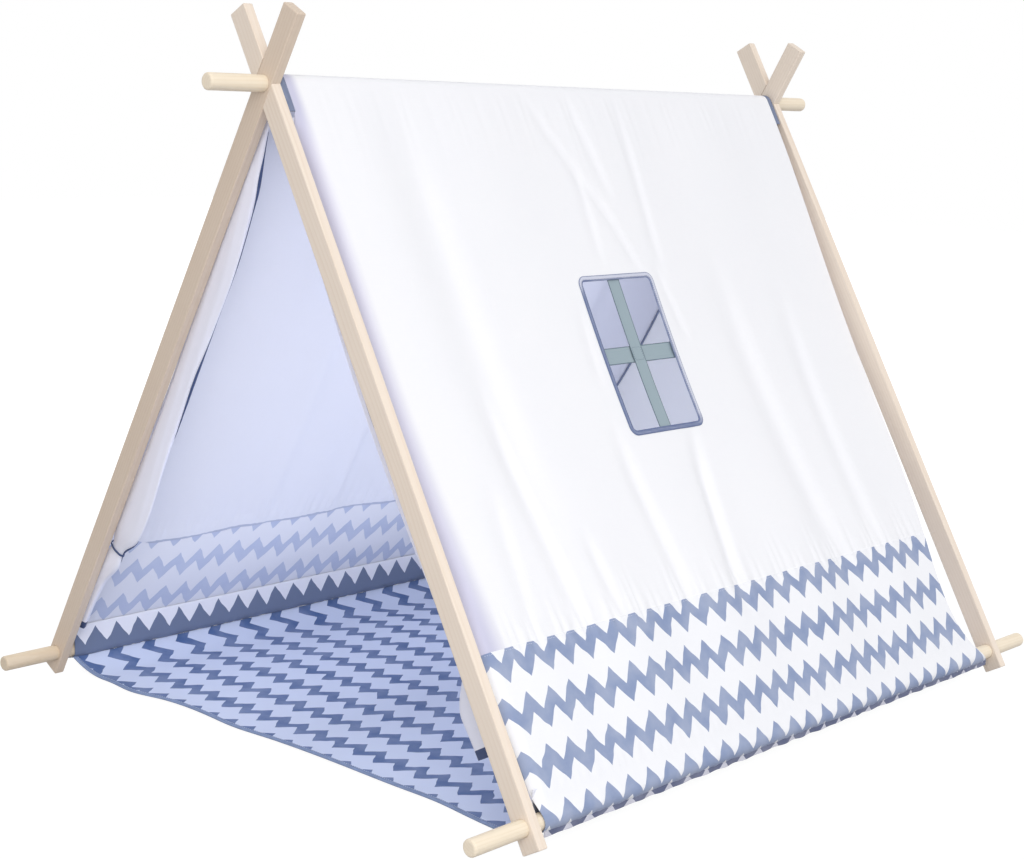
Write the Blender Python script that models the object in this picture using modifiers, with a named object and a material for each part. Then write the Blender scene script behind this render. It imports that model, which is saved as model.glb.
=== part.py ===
"""A-frame play tent: two lapped pairs of wooden legs, three round poles that slide through them, and a
sewn canvas body.

X runs across the tent, Y along the ridge from the door to the back, Z up. The origin is on the ground
under the middle of the ridge. The canvas follows one profile in the plane across the tent: over the
ridge pole, down the slope and round the base pole. A place on it is a distance along that profile,
counted from where the canvas leaves the ridge pole, and a lift off it, counted outwards.
"""

import math

import bmesh
import bpy
import numpy as np

# Wooden frame, in metres and radians
leg_width = 0.030
leg_thickness = 0.015
leg_edge_round = 0.0015
leg_lean = math.radians(29.4)
foot_to_crossing = 1.000
crossing_to_tip = 0.106
frame_spacing = 1.082
lap_clearance = 0.0003
cut_overrun = 0.002
weld_distance = 0.00001

# Round poles
pole_diameter = 0.022
pole_overhang = 0.0885
pole_end_round = 0.003
pole_clearance = 0.0003
foot_to_base_pole = 0.031

# Canvas and its seams
canvas_thickness = 0.0012
seam_gap = 0.0003
sleeve_clearance = 0.0004
ridge_tape_width = 0.010
ridge_tape_drop = 0.045
tape_to_leg = 0.0012
band_height = 0.204
stitch_above_pole = 0.037

# Form of the hanging cloth
slope_sag = 0.019
back_edge_bow = 0.060
bow_shares = (8.0, 1.0)
front_roll_width = 0.026
front_roll_depth = 0.022
front_roll_start = 0.030
front_roll_rise = 0.100
ridge_fold_height = 0.004
ridge_fold_reach = 0.080
band_fold_height = 0.005
band_fold_reach = 0.180
ridge_folds = 4
band_folds = 5
quiet_fold_edge = 0.120

# Window in the right slope
window_width = 0.151
window_height = 0.226
window_corner = 0.007
window_to_ridge = 0.295
window_from_front = 0.506
window_tape_width = 0.007
tape_thickness = 0.0010
ribbon_width = 0.025
ribbon_overlap = 0.006

# Door curtains, tied back along the slopes
curtain_width = 0.030
curtain_depth = 0.031
left_tail_depth = 0.022
right_tail_depth = 0.072
curtain_pleats = 6
curtain_pleat_share = 0.08
curtain_top = 0.050
curtain_bottom = 0.915
curtain_taper = 0.100
curtain_taper_share = 0.30
tie_above_seam = 0.013
tie_width = 0.006
tie_clearance = 0.0007
curtain_clearance = 0.0006
pinch_reach = 0.030
pinch_share = 0.32
curtain_tape_width = 0.008

# Floor mat and back wall
mat_rise_width = 0.070
mat_edge_inset = 0.006
mat_front_bow = 0.018
mat_tape_width = 0.008
wall_inset = 0.003
wall_top = 0.030
wall_gap = 0.0010

# Facets
pole_sides = 32
pole_end_steps = 3
leg_edge_steps = 2
ridge_rows = 5
drop_rows = 1
roll_start_rows = 3
slope_rows = 7
roll_end_rows = 3
tie_rows = 1
roll_columns = 5
roof_columns = 22
band_rows = 4
wrap_rows = 11
ply_rows = 1
window_corner_steps = 3
curtain_sides = 30
tied_rows = 4
tape_columns = 2
mat_rise_columns = 6
mat_flat_columns = 10
mat_rows = 8
wall_rows = 15
pole_sharp_angle = math.radians(35)
curtain_sharp_angle = math.radians(60)
half_share = 0.5

# Worked out from the sizes above
pole_length = frame_spacing + leg_thickness + 2 * pole_overhang
sin_lean = math.sin(leg_lean)
cos_lean = math.cos(leg_lean)
foot_ease = leg_edge_round * (sin_lean + cos_lean - 1)
crossing_height = foot_to_crossing * cos_lean + leg_width / 2 * sin_lean - foot_ease
slope_run = foot_to_crossing - foot_to_base_pole
pole_radius = pole_diameter / 2
wrap_radius = pole_radius + sleeve_clearance + canvas_thickness / 2
ridge_wrap = math.pi / 2 - leg_lean
seam_at = slope_run - band_height
tie_at = seam_at - tie_above_seam
stitch_at = slope_run - stitch_above_pole
canvas_front = (leg_thickness - frame_spacing) / 2 + tape_to_leg + ridge_tape_width + seam_gap
canvas_back = -canvas_front
sleeve_bottom = slope_run + wrap_radius * math.pi / 2
roll_full = front_roll_start + front_roll_rise
roll_fading = tie_at - front_roll_rise
curtain_inset = curtain_width / 2 * (1 + curtain_pleat_share) + canvas_thickness + curtain_clearance
curtain_tape_off = tie_clearance + tape_thickness / 2
curtain_tie_off = curtain_tape_off + tape_thickness + tie_clearance
base_pole_x = slope_run * sin_lean
base_pole_z = crossing_height - slope_run * cos_lean


def inner_ply():
    """The turn round the base pole at which the sleeve's inner ply leaves it, and that ply's length.

    The ply is the tangent from the stitch line, one canvas inside the outer ply, to the wrap."""
    down = -stitch_above_pole
    out = wrap_radius - canvas_thickness - seam_gap
    reach = math.hypot(down, out)
    turn = math.atan2(down, out) + 2 * math.pi - math.acos(wrap_radius / reach)
    return turn, math.sqrt(reach**2 - wrap_radius**2)


sleeve_turn, ply_length = inner_ply()
sleeve_end = slope_run + wrap_radius * sleeve_turn + ply_length


def smooth_rise(low, high, value):
    """0 below low, 1 above high and a smooth rise between."""
    share = np.clip((value - low) / (high - low), 0, 1)
    return share * share * (3 - 2 * share)


def spread(share, stops, counts):
    """Where a share of a sheet lies, with its rows spread evenly between stops, so many to each."""
    rows = np.concatenate(([0], np.cumsum(counts)))
    return np.interp(share * rows[-1], rows, stops)


def profile_point(distance, lift):
    """(down the slope, out from the line between the poles) at a distance along the profile."""
    over_ridge = np.minimum(distance, 0) / wrap_radius
    on_slope = np.clip(distance, 0, slope_run)
    past_slope = np.maximum(distance - slope_run, 0)
    round_base = np.minimum(past_slope / wrap_radius, sleeve_turn)
    past_wrap = np.maximum(past_slope - wrap_radius * sleeve_turn, 0)
    turn = over_ridge + round_base
    radius = wrap_radius + lift
    down = on_slope + radius * np.sin(turn) + past_wrap * math.cos(sleeve_turn)
    out = radius * np.cos(turn) - past_wrap * math.sin(sleeve_turn)
    return down, out


def slope_point(side, distance, y, lift):
    """World points of the right (side 1) or left (side -1) slope."""
    down, out = profile_point(distance, lift)
    x = side * (sin_lean * down + cos_lean * out)
    z = crossing_height - cos_lean * down + sin_lean * out
    return np.stack(np.broadcast_arrays(x, y, z), axis=-1)


def back_edge(distance):
    """Y of the canvas's back edge, which its own pull bows towards the door between ridge and base.

    The bow is share^a (1 - share)^b over its own peak, so it is fullest low on the slope. Past the
    sleeve's bottom the edge runs back as it came, so that both plies end together."""
    rise, fall = bow_shares
    near = sleeve_bottom - np.abs(distance - sleeve_bottom)
    share = np.clip(near / sleeve_bottom, 0, 1)
    top = rise / (rise + fall)
    peak = top**rise * (1 - top) ** fall
    return canvas_back - back_edge_bow * share**rise * (1 - share) ** fall / peak


def sag(distance):
    """How far the slope hangs inwards between the ridge and the sleeve's stitch line."""
    return slope_sag * np.sin(math.pi * np.clip(distance / stitch_at, 0, 1)) ** 2


def folds(distance, y):
    """Folds that start at the ridge and at the band's seam and fade before the edges."""
    along = (y - canvas_front) / (canvas_back - canvas_front)
    below_ridge = np.maximum(distance, 0) / ridge_fold_reach
    above_seam = np.abs(seam_at - distance) / band_fold_reach
    from_ridge = ridge_fold_height * below_ridge * np.exp(1 - below_ridge)
    from_seam = band_fold_height * np.exp(-above_seam * above_seam)
    waves = from_ridge * np.sin(2 * math.pi * ridge_folds * along)
    waves = waves + from_seam * np.sin(2 * math.pi * band_folds * along)
    front = smooth_rise(front_roll_width, front_roll_width + quiet_fold_edge, y - canvas_front)
    back = smooth_rise(0, quiet_fold_edge, back_edge(distance) - y)
    base = smooth_rise(0, stitch_above_pole, stitch_at - distance)
    return waves * front * back * base


def front_roll(distance, y):
    """How far the slope's front edge curls inwards behind the leg, towards the curtain."""
    down = smooth_rise(front_roll_start, roll_full, distance)
    up = 1 - smooth_rise(roll_fading, tie_at, distance)
    share = 1 - np.clip((y - canvas_front) / front_roll_width, 0, 1)
    return front_roll_depth * down * up * share * share


def canvas_lift(distance, y):
    """Lift of the hanging slope off its straight profile."""
    return folds(distance, y) - sag(distance) - front_roll(distance, y)


def mat_height(x):
    """Height of the mat's middle plane: flat on the ground, rising to the sleeves at both sides."""
    edge = base_pole_x - mat_edge_inset
    under = math.sqrt((wrap_radius + canvas_thickness / 2) ** 2 - mat_edge_inset**2)
    top = base_pole_z - under - canvas_thickness / 2 - 2 * seam_gap
    share = np.clip((np.abs(x) - edge + mat_rise_width) / mat_rise_width, 0, 1)
    return canvas_thickness / 2 + (top - canvas_thickness / 2) * share * share


def mat_front(x):
    """Y of the mat's front edge, bowed inwards between its held corners."""
    share = np.abs(x) / (base_pole_x - mat_edge_inset)
    corner = canvas_front + mat_tape_width + seam_gap
    return corner + mat_front_bow * (1 - share**3)


def new_material(name, colour, roughness):
    material = bpy.data.materials.new(name)
    material.use_nodes = True
    shader = material.node_tree.nodes["Principled BSDF"]
    shader.inputs["Base Color"].default_value = (*colour, 1)
    shader.inputs["Roughness"].default_value = roughness
    shader.inputs["Metallic"].default_value = 0
    return material


def place(obj, name, collection, finish=None):
    """Names the object, moves it to its collection and gives it its own material."""
    obj.name = name
    for owner in obj.users_collection:
        owner.objects.unlink(obj)
    collection.objects.link(obj)
    if finish:
        obj.data.materials.append(new_material(name, *finish))
    return obj


def box(name, size, collection, finish=None):
    bpy.ops.mesh.primitive_cube_add(size=1, scale=size)
    return place(bpy.context.object, name, collection, finish)


def rod(name, radius, length, collection, finish=None):
    """A round bar along Y."""
    bpy.ops.mesh.primitive_cylinder_add(vertices=pole_sides, radius=radius, depth=length)
    obj = place(bpy.context.object, name, collection, finish)
    obj.rotation_euler = (math.pi / 2, 0, 0)
    obj.data.shade_smooth()
    obj.data.set_sharp_from_angle(angle=pole_sharp_angle)
    return obj


def ease_edges(obj, width, steps):
    easing = obj.modifiers.new("eased edges", "BEVEL")
    easing.width = width
    easing.segments = steps
    easing.limit_method = "ANGLE"


def cut(obj, cutter, operation="DIFFERENCE"):
    cutter.hide_render = True
    cutter.display_type = "WIRE"
    modifier = obj.modifiers.new(cutter.name, "BOOLEAN")
    modifier.operation = operation
    modifier.object = cutter


def bend_grid(grid, surface):
    """Moves a unit grid's points to surface(u, v), with u and v from 0 to 1."""
    places = np.array([vertex.co for vertex in grid.verts])
    points = surface((places[:, 0] + 1) / 2, (places[:, 1] + 1) / 2)
    for vertex, point in zip(grid.verts, points):
        vertex.co = point


def sheet(name, surface, columns, rows, thickness, finish, collection, closed=False):
    """A sheet of even thickness about surface(u, v), with u and v from 0 to 1.

    A closed sheet meets itself where u comes round to 1."""
    mesh = bpy.data.meshes.new(name)
    grid = bmesh.new()
    bmesh.ops.create_grid(grid, x_segments=columns, y_segments=rows, size=1)
    bend_grid(grid, surface)
    if closed:
        bmesh.ops.remove_doubles(grid, verts=grid.verts, dist=weld_distance)
    grid.to_mesh(mesh)
    grid.free()
    obj = place(bpy.data.objects.new(name, mesh), name, collection, finish)
    mesh.shade_smooth()
    wall = obj.modifiers.new("thickness", "SOLIDIFY")
    wall.thickness = thickness
    wall.offset = 0
    return obj


# Colours and roughnesses
pine = ((0.82, 0.70, 0.56), 0.55)
white_canvas = ((0.90, 0.91, 0.95), 0.90)
printed_canvas = ((0.58, 0.65, 0.80), 0.90)
blue_tape = ((0.15, 0.20, 0.33), 0.85)
sage_ribbon = ((0.36, 0.45, 0.47), 0.80)


def clear_scene():
    for obj in list(bpy.data.objects):
        bpy.data.objects.remove(obj, do_unlink=True)


def build_legs(parts, cutters):
    """Two pairs of legs, each pair crossing in a half lap with flush faces.

    The left leg keeps the front half of its thickness at the crossing and the right leg the back."""
    length = foot_to_crossing + crossing_to_tip
    middle = (crossing_to_tip - foot_to_crossing) / 2
    half = leg_thickness / 2
    for place_name, frame_y in (("front", -frame_spacing / 2), ("back", frame_spacing / 2)):
        for side_name, side in (("left", -1), ("right", 1)):
            lean = -side * leg_lean
            name = f"{place_name}_{side_name}_leg"
            leg = box(name, (leg_width, leg_thickness, length), parts, pine)
            leg.rotation_euler = (0, lean, 0)
            leg.location = (middle * math.sin(lean), frame_y, crossing_height + middle * cos_lean)
            ease_edges(leg, leg_edge_round, leg_edge_steps)

            notch_depth = half + lap_clearance / 2 + cut_overrun
            notch_size = (leg_width + 2 * lap_clearance, notch_depth, 4 * leg_width)
            notch = box(name + "_lap", notch_size, cutters)
            notch.rotation_euler = (0, -lean, 0)
            notch_y = frame_y - side * (half + cut_overrun - lap_clearance / 2) / 2
            notch.location = (0, notch_y, crossing_height)
            cut(leg, notch)

            for hole_name, x, z in (
                ("ridge", 0, crossing_height),
                ("base", side * base_pole_x, base_pole_z),
            ):
                depth = leg_thickness + 2 * cut_overrun
                hole = rod(f"{name}_{hole_name}_hole", pole_radius + pole_clearance, depth, cutters)
                hole.location = (x, frame_y, z)
                cut(leg, hole)


def build_poles(parts):
    for name, x, z in (
        ("ridge_pole", 0, crossing_height),
        ("left_base_pole", -base_pole_x, base_pole_z),
        ("right_base_pole", base_pole_x, base_pole_z),
    ):
        pole = rod(name, pole_radius, pole_length, parts, pine)
        pole.location = (x, 0, z)
        ease_edges(pole, pole_end_round, pole_end_steps)


roof_rows = (ridge_rows, drop_rows, roll_start_rows, slope_rows, roll_end_rows, tie_rows)


def roof_surface(side, lift=0):
    """The white slope from the ridge seam to the band's seam, or a surface lifted off it."""
    ridge_seam = seam_gap / 2 - wrap_radius * ridge_wrap
    band_seam = seam_at - seam_gap / 2
    stops = (ridge_seam, 0, ridge_tape_drop, roll_full, roll_fading, tie_at, band_seam)
    columns = (roll_columns, roof_columns)

    def surface(u, v):
        distance = spread(v, stops, roof_rows)
        flat_front = canvas_front + front_roll_width
        rolled = front_roll_width * spread(u, (0, 1, 1), columns)
        flat = (back_edge(distance) - flat_front) * spread(u, (0, 0, 1), columns)
        y = canvas_front + rolled + flat
        return slope_point(side, distance, y, canvas_lift(distance, y) + lift)

    return surface


def slope_sheet(name, side, lift, thickness, finish, collection):
    """A sheet as large as a slope, lifted off its canvas and with the same facets."""
    columns = roll_columns + roof_columns
    surface = roof_surface(side, lift)
    return sheet(name, surface, columns, sum(roof_rows), thickness, finish, collection)


def window_block(name, width, height, corner, cutters):
    """A block through the right slope about the window's middle, with its four corners rounded."""
    depth = 2 * (slope_sag + front_roll_depth)
    block = box(name, (depth, width, height), cutters)
    if corner:
        weights = block.data.attributes.new("bevel_weight_edge", "FLOAT", "EDGE")
        for edge in block.data.edges:
            first, second = (block.data.vertices[index].co for index in edge.vertices)
            weights.data[edge.index].value = abs(first.x - second.x) / depth
        corners = block.modifiers.new("corners", "BEVEL")
        corners.width = corner
        corners.segments = window_corner_steps
        corners.limit_method = "WEIGHT"
    distance = window_to_ridge + window_height / 2
    y = canvas_front + window_from_front
    block.location = slope_point(1, distance, y, canvas_lift(distance, y))
    block.rotation_euler = (0, -leg_lean, 0)
    return block


def build_window(panel, parts, cutters):
    """Cuts the opening and adds its tape on the outer face and its two ribbons on the inner face."""
    opening = window_block("window_opening", window_width, window_height, window_corner, cutters)
    cut(panel, opening)

    off_face = canvas_thickness / 2 + seam_gap + tape_thickness / 2
    deeper = off_face + tape_thickness + seam_gap
    taped_width = window_width + 2 * window_tape_width
    taped_height = window_height + 2 * window_tape_width
    taped_corner = window_corner + window_tape_width
    ribbon_height = window_height + 2 * ribbon_overlap
    ribbon_length = window_width + 2 * ribbon_overlap
    for name, width, height, corner, lift, finish in (
        ("window_tape", taped_width, taped_height, taped_corner, off_face, blue_tape),
        ("window_upright_ribbon", ribbon_width, ribbon_height, 0, -off_face, sage_ribbon),
        ("window_level_ribbon", ribbon_length, ribbon_width, 0, -deeper, sage_ribbon),
    ):
        strip = slope_sheet(name, 1, lift, tape_thickness, finish, parts)
        outline = window_block(f"{name}_outline", width, height, corner, cutters)
        cut(strip, outline, "INTERSECT")
        if corner:
            cut(strip, opening)


def band_surface(side):
    """The printed band from its seam, round the base pole and back up to the stitch line inside."""
    wrap_end = slope_run + wrap_radius * sleeve_turn
    stops = (seam_at + seam_gap / 2, slope_run, wrap_end, sleeve_end)

    def surface(u, v):
        distance = spread(v, stops, (band_rows, wrap_rows, ply_rows))
        y = canvas_front + (back_edge(distance) - canvas_front) * u
        lift = np.where(distance < slope_run, canvas_lift(distance, y), 0)
        return slope_point(side, distance, y, lift)

    return surface


def build_canvas(parts, cutters):
    rows = band_rows + wrap_rows + ply_rows
    for name, side in (("left", -1), ("right", 1)):
        panel = slope_sheet(f"{name}_roof_panel", side, 0, canvas_thickness, white_canvas, parts)
        if side > 0:
            build_window(panel, parts, cutters)
        band = band_surface(side)
        sheet(f"{name}_base_band", band, roof_columns, rows, canvas_thickness, printed_canvas, parts)


def ridge_tape_surface(front):
    """Tape that lengthens the canvas's end over the ridge pole, down both slopes to the seams."""
    over = wrap_radius * ridge_wrap
    end = over + ridge_tape_drop

    def surface(u, v):
        turn = spread(v, (-end, -over, 0, over, end), (drop_rows, ridge_rows, ridge_rows, drop_rows))
        distance = np.abs(turn) - over
        edge = np.where(front, canvas_front, back_edge(distance))
        beyond = seam_gap + ridge_tape_width * u
        y = edge + np.where(front, -beyond, beyond)
        return slope_point(np.sign(turn), distance, y, canvas_lift(distance, edge))

    return surface


def curtain_point(side, turn, distance, off):
    """A point off the face of a gathered curtain.

    Turn 0 faces into the tent and a quarter turn faces the back. Below the tie the curtain's depth
    grows or shrinks to its tail's."""
    gathered = smooth_rise(curtain_top, curtain_top + curtain_taper, distance)
    taper = 1 - curtain_taper_share * (1 - gathered)
    tail_depth = right_tail_depth if side > 0 else left_tail_depth
    tail = smooth_rise(tie_at, curtain_bottom, distance)
    depth = curtain_depth + (tail_depth - curtain_depth) * tail
    from_tie = (distance - tie_at) / pinch_reach
    pinch = 1 - pinch_share * np.exp(-from_tie * from_tie)
    size = (1 + curtain_pleat_share * np.cos(curtain_pleats * turn)) * taper * pinch
    y = canvas_front + curtain_inset + (curtain_width / 2 * size + off) * np.sin(turn)
    middle = -sag(distance) - canvas_thickness - curtain_clearance - depth / 2 * taper
    lift = middle - (depth / 2 * size + off) * np.cos(turn)
    against_canvas = canvas_lift(distance, y) - canvas_thickness - curtain_clearance
    return slope_point(side, distance, y, np.minimum(lift, against_canvas))


def curtain_rows(v):
    """Distances down a curtain, which has its rows where the slope has them."""
    stops = (curtain_top, roll_full, roll_fading, tie_at, curtain_bottom)
    return spread(v, stops, (roll_start_rows, slope_rows, roll_end_rows, tied_rows))


curtain_row_count = roll_start_rows + slope_rows + roll_end_rows + tied_rows


def gathered_curtain(name, side, collection):
    """A closed pleated bundle that runs down inside the slope's front edge."""
    mesh = bpy.data.meshes.new(name)
    grid = bmesh.new()
    bmesh.ops.create_grid(grid, x_segments=curtain_sides, y_segments=curtain_row_count, size=1)
    bend_grid(grid, lambda u, v: curtain_point(side, 2 * math.pi * u, curtain_rows(v), 0))
    bmesh.ops.remove_doubles(grid, verts=grid.verts, dist=weld_distance)
    bmesh.ops.holes_fill(grid, edges=[edge for edge in grid.edges if edge.is_boundary], sides=0)
    bmesh.ops.recalc_face_normals(grid, faces=grid.faces)
    grid.to_mesh(mesh)
    grid.free()
    obj = place(bpy.data.objects.new(name, mesh), name, collection, white_canvas)
    mesh.shade_smooth()
    mesh.set_sharp_from_angle(angle=curtain_sharp_angle)


def curtain_tape_surface(side):
    """Tape along the curtain's free edge, which lies on the bundle's inner side."""
    widest = 2 * curtain_tape_width / curtain_width

    def surface(u, v):
        return curtain_point(side, widest * (u - half_share), curtain_rows(v), curtain_tape_off)

    return surface


def curtain_tie_surface(side):
    """A band round the curtain and its tape at the tie."""

    def surface(u, v):
        distance = tie_at + tie_width * (v - half_share)
        return curtain_point(side, 2 * math.pi * u, distance, curtain_tie_off)

    return surface


def build_curtains(parts):
    for name, side in (("left", -1), ("right", 1)):
        gathered_curtain(f"{name}_door_curtain", side, parts)
        edge = curtain_tape_surface(side)
        tape_name = f"{name}_curtain_tape"
        sheet(tape_name, edge, tape_columns, curtain_row_count, tape_thickness, blue_tape, parts)
        tie = curtain_tie_surface(side)
        tie_name = f"{name}_curtain_tie"
        sheet(tie_name, tie, curtain_sides, 1, tape_thickness, blue_tape, parts, closed=True)


def mat_across(u):
    """X across the mat, with columns set closer where it rises to the sleeves."""
    edge = base_pole_x - mat_edge_inset
    flat = edge - mat_rise_width
    counts = (mat_rise_columns, mat_flat_columns, mat_rise_columns)
    return spread(u, (-edge, -flat, flat, edge), counts)


def mat_surface(u, v):
    x = mat_across(u)
    front = mat_front(x)
    y = front + (canvas_back - seam_gap - front) * v
    return np.stack((x, y, mat_height(x)), axis=-1)


def mat_tape_surface(u, v):
    """Tape along the mat's front edge, in the mat's own plane."""
    x = mat_across(u)
    y = mat_front(x) - seam_gap - mat_tape_width * v
    return np.stack((x, y, mat_height(x) + seam_gap), axis=-1)


def wall_surface(u, v):
    """The back wall, sewn along both slopes' back edges and standing on the mat."""
    across = mat_across(u) / (base_pole_x - mat_edge_inset)
    ground = canvas_thickness + wall_gap
    last = (crossing_height + sin_lean * wrap_radius - ground) / cos_lean
    distance = wall_top + (last - wall_top) * v
    y = back_edge(distance) - wall_inset
    inside = -canvas_thickness / 2 - wall_gap
    edge = slope_point(1, distance, y, canvas_lift(distance, y) + inside)
    to_sleeve = base_pole_x - wrap_radius - canvas_thickness / 2 - 2 * wall_gap
    x = across * np.minimum(edge[:, 0], to_sleeve)
    floor = mat_height(x) + canvas_thickness / 2 + wall_gap
    z = np.where(v < 1, np.maximum(edge[:, 2], floor), floor)
    return np.stack((x, y, z), axis=-1)


def build_body(parts):
    mat_columns = 2 * mat_rise_columns + mat_flat_columns
    sheet("floor_mat", mat_surface, mat_columns, mat_rows, canvas_thickness, printed_canvas, parts)
    sheet("mat_front_tape", mat_tape_surface, mat_columns, 1, tape_thickness, blue_tape, parts)
    sheet("back_wall", wall_surface, mat_columns, wall_rows, canvas_thickness, white_canvas, parts)
    rows = 2 * (ridge_rows + drop_rows)
    for name, front in (("front", True), ("back", False)):
        tape = ridge_tape_surface(front)
        sheet(f"{name}_ridge_tape", tape, tape_columns, rows, canvas_thickness, blue_tape, parts)


def build_tent():
    clear_scene()
    parts = bpy.data.collections.new("play_tent")
    cutters = bpy.data.collections.new("cutters")
    for collection in (parts, cutters):
        bpy.context.scene.collection.children.link(collection)
    build_legs(parts, cutters)
    build_poles(parts)
    build_canvas(parts, cutters)
    build_curtains(parts)
    build_body(parts)


build_tent()
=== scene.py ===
"""The play tent as it is seen: pine frame, canvas slopes, printed bands and mat, window, curtains.

X runs across the tent, Y along the ridge from the door to the back, Z up, all in metres. A place
on the canvas is a distance down the slope's profile, a place along Y and a lift outwards off it.
"""

import math

import bpy
import numpy as np
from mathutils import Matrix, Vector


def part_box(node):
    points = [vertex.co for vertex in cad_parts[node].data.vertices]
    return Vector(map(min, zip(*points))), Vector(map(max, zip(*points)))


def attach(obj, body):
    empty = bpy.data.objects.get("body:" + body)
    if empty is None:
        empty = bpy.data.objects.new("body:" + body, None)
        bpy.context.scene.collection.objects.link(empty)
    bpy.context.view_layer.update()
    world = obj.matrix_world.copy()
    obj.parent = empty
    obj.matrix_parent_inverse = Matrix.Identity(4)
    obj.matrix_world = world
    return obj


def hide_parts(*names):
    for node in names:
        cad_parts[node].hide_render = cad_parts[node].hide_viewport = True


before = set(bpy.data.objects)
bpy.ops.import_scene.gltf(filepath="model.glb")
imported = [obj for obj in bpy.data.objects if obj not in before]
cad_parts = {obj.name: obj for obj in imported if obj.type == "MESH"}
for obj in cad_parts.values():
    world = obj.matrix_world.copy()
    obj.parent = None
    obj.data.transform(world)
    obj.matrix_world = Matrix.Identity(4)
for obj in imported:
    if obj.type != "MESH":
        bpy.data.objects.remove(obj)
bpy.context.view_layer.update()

# The camera stands in front of the door's right-hand leg, at about the height of the ridge, and
# looks slightly down. Its lens and place give the photograph's view of the frame.
camera_lens = 65.53
camera_sensor = 36
camera_place = (1.8474, -2.0741, 0.8506)
camera_angles = (80.356, -1.635, 42.935)
view = bpy.data.objects.new("camera", bpy.data.cameras.new("camera"))
bpy.context.scene.collection.objects.link(view)
view.data.sensor_width = camera_sensor
view.data.lens = camera_lens
view.location = camera_place
view.rotation_euler = [math.radians(angle) for angle in camera_angles]
bpy.context.scene.camera = view
bpy.context.scene.view_settings.view_transform = "Standard"

# The floor is a plain white ground that runs out of view. It shows white to the camera and in
# gloss, and keeps a light share of the tent's shadow near its feet. The sky is a soft white.
floor_reach = 12.0
floor_grey = (0.42, 0.42, 0.43)
floor_glow = 1.22
floor_shadow_share = 0.22
floor_shadow_fade = (0.8, 2.0)
floor_corners = ((-1, -1, 0), (1, -1, 0), (1, 1, 0), (-1, 1, 0))
pure_white = (1.0, 1.0, 1.0)


class Value:
    """A number worked out in a node tree. Python's operators on it add Math nodes."""

    def __init__(self, nodes, socket):
        self.nodes = nodes
        self.socket = socket

    def math(self, operation, *others):
        inputs = dict(enumerate((self, *others)))
        return self.nodes.node("ShaderNodeMath", {"operation": operation}, inputs)

    def __add__(self, other):
        return self.math("ADD", other)

    def __sub__(self, other):
        return self.math("SUBTRACT", other)

    def __mul__(self, other):
        return self.math("MULTIPLY", other)

    def __truediv__(self, other):
        return self.math("DIVIDE", other)

    def __rsub__(self, other):
        return (self * -1) + other

    __radd__ = __add__
    __rmul__ = __mul__

    def rise(self, low, high):
        """0 below low, 1 above high and a smooth rise between."""
        limits = {"Value": self, "From Min": low, "From Max": high}
        settings = {"interpolation_type": "SMOOTHSTEP"}
        return self.nodes.node("ShaderNodeMapRange", settings, limits)


class Nodes:
    """A node tree, with the method that makes each of its nodes."""

    def __init__(self, tree):
        self.tree = tree

    def node(self, kind, settings, inputs, output=0):
        node = self.tree.nodes.new(kind)
        for name, setting in settings.items():
            setattr(node, name, setting)
        for name, value in inputs.items():
            self.give(node.inputs[name], value)
        return Value(self, node.outputs[output])

    def give(self, socket, value):
        if isinstance(value, Value):
            self.tree.links.new(value.socket, socket)
        elif socket.type == "RGBA":
            socket.default_value = (*value, 1)
        else:
            socket.default_value = value

    def rays(self, *kinds):
        return [self.node("ShaderNodeLightPath", {}, {}, f"Is {kind} Ray") for kind in kinds]

    def show(self, output, share, first, second):
        """Gives an output the first shader where the share is 0, the second where it is 1."""
        shown = self.node("ShaderNodeMixShader", {}, {0: share, 1: first, 2: second})
        self.give(self.tree.nodes[output].inputs["Surface"], shown)


class Finish(Nodes):
    """One material."""

    def __init__(self, name, roughness):
        self.material = bpy.data.materials.new(name)
        self.material.use_nodes = True
        super().__init__(self.material.node_tree)
        self.shader = self.tree.nodes["Principled BSDF"]
        self.shader.inputs["Roughness"].default_value = roughness

    def surface(self, name, value):
        self.give(self.shader.inputs[name], value)

    def mix(self, share, first, second, blend="MIX"):
        """The first colour where the share is 0, the second or a blend where it is 1."""
        settings = {"data_type": "RGBA", "blend_type": blend}
        return self.node("ShaderNodeMix", settings, {0: share, 6: first, 7: second}, 2)

    def split(self, vector):
        return [self.node("ShaderNodeSeparateXYZ", {}, {0: vector}, axis) for axis in range(3)]

    def on_cloth(self):
        """The place along the flat cloth and the place down it."""
        return self.split(self.node("ShaderNodeUVMap", {"uv_map": "cloth"}, {}))[:2]

    def noise(self, x, y, z, scale=1.0, detail=3.0):
        vector = self.node("ShaderNodeCombineXYZ", {}, {0: x, 1: y, 2: z})
        inputs = {"Vector": vector, "Scale": scale, "Detail": detail}
        return self.node("ShaderNodeTexNoise", {}, inputs, "Fac")

    def relief(self, height, depth, strength=0.6):
        inputs = {"Height": height, "Distance": depth, "Strength": strength}
        self.surface("Normal", self.node("ShaderNodeBump", {}, inputs, "Normal"))


floor_mesh = bpy.data.meshes.new("floor")
floor_mesh.from_pydata(floor_reach * np.array(floor_corners), [], [(0, 1, 2, 3)])
floor = bpy.data.objects.new("floor", floor_mesh)
bpy.context.scene.collection.objects.link(floor)

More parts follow.
